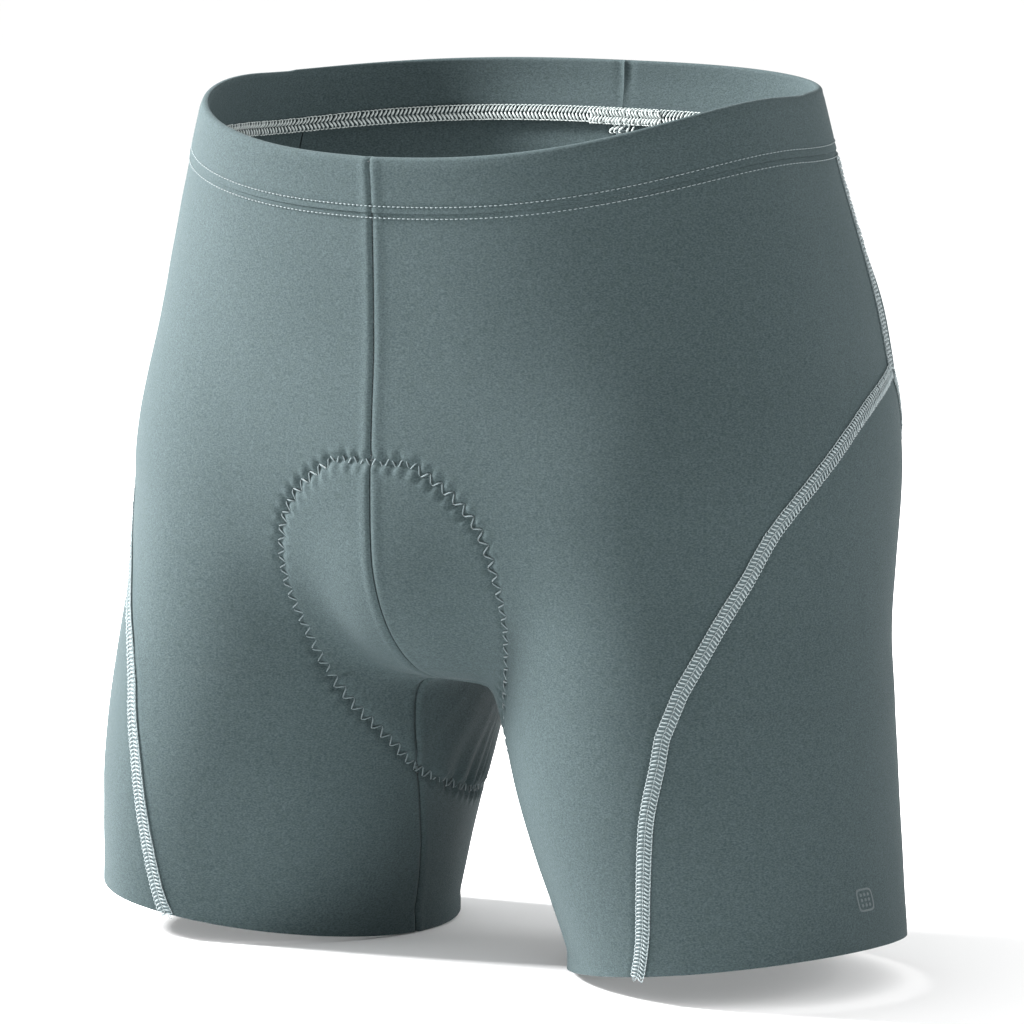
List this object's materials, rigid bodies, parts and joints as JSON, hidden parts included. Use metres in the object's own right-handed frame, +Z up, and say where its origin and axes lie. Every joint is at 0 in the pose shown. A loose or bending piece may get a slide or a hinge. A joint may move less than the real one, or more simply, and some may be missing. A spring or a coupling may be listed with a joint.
{
  "type": "padded shorts",
  "caption": "Close-fitting knit shorts with a sewn-in moulded crotch pad, flat thigh seams and an elasticated waistband, standing open as worn.",
  "frame": {"origin": "on the ground under the middle of the shorts, at the height of the lowest point of the two hems", "axes": "+Z up; the wearer faces -Y; the wearer's left leg is on +X"},
  "size_m": [0.3926, 0.2348, 0.3915],
  "materials": {
    "body_knit": "matt heathered grey-green stretch knit",
    "seam_thread": "pale grey texturised thread",
    "tonal_thread": "dark grey thread close to the cloth's colour",
    "waist_elastic": "ribbed white elastic",
    "pad_fabric": "brushed dark grey microfibre",
    "pad_foam": "laminated foam faced with grey brushed knit",
    "transfer_film": "satin heat-transfer film"
  },
  "bodies": {
    "root": {"back_panel_left": "body_knit", "back_panel_right": "body_knit", "back_thigh_seam_left": "seam_thread", "back_thigh_seam_right": "seam_thread", "centre_back_overlock": "tonal_thread", "centre_front_overlock": "tonal_thread", "front_panel_left": "body_knit", "front_panel_right": "body_knit", "front_thigh_seam_left": "seam_thread", "front_thigh_seam_right": "seam_thread", "hem_turnup_left": "body_knit", "hem_turnup_right": "body_knit", "hip_seam_left": "seam_thread", "hip_seam_right": "seam_thread", "inseam_overlock_left": "tonal_thread", "inseam_overlock_right": "tonal_thread", "leg_transfer_mark": "transfer_film", "pad_backing": "pad_fabric", "pad_centre_cushion": "pad_foam", "pad_foam_base": "pad_foam", "pad_front_cushion": "pad_foam", "pad_seat_cushion_left": "pad_foam", "pad_seat_cushion_right": "pad_foam", "pad_zigzag_stitching": "tonal_thread", "side_panel_left": "body_knit", "side_panel_right": "body_knit", "waist_coverstitch_lower": "seam_thread", "waist_coverstitch_upper": "seam_thread", "waist_elastic": "waist_elastic", "waist_looper_chain": "seam_thread", "waistband_casing_left": "body_knit", "waistband_casing_right": "body_knit"}
  },
  "joints": []
}
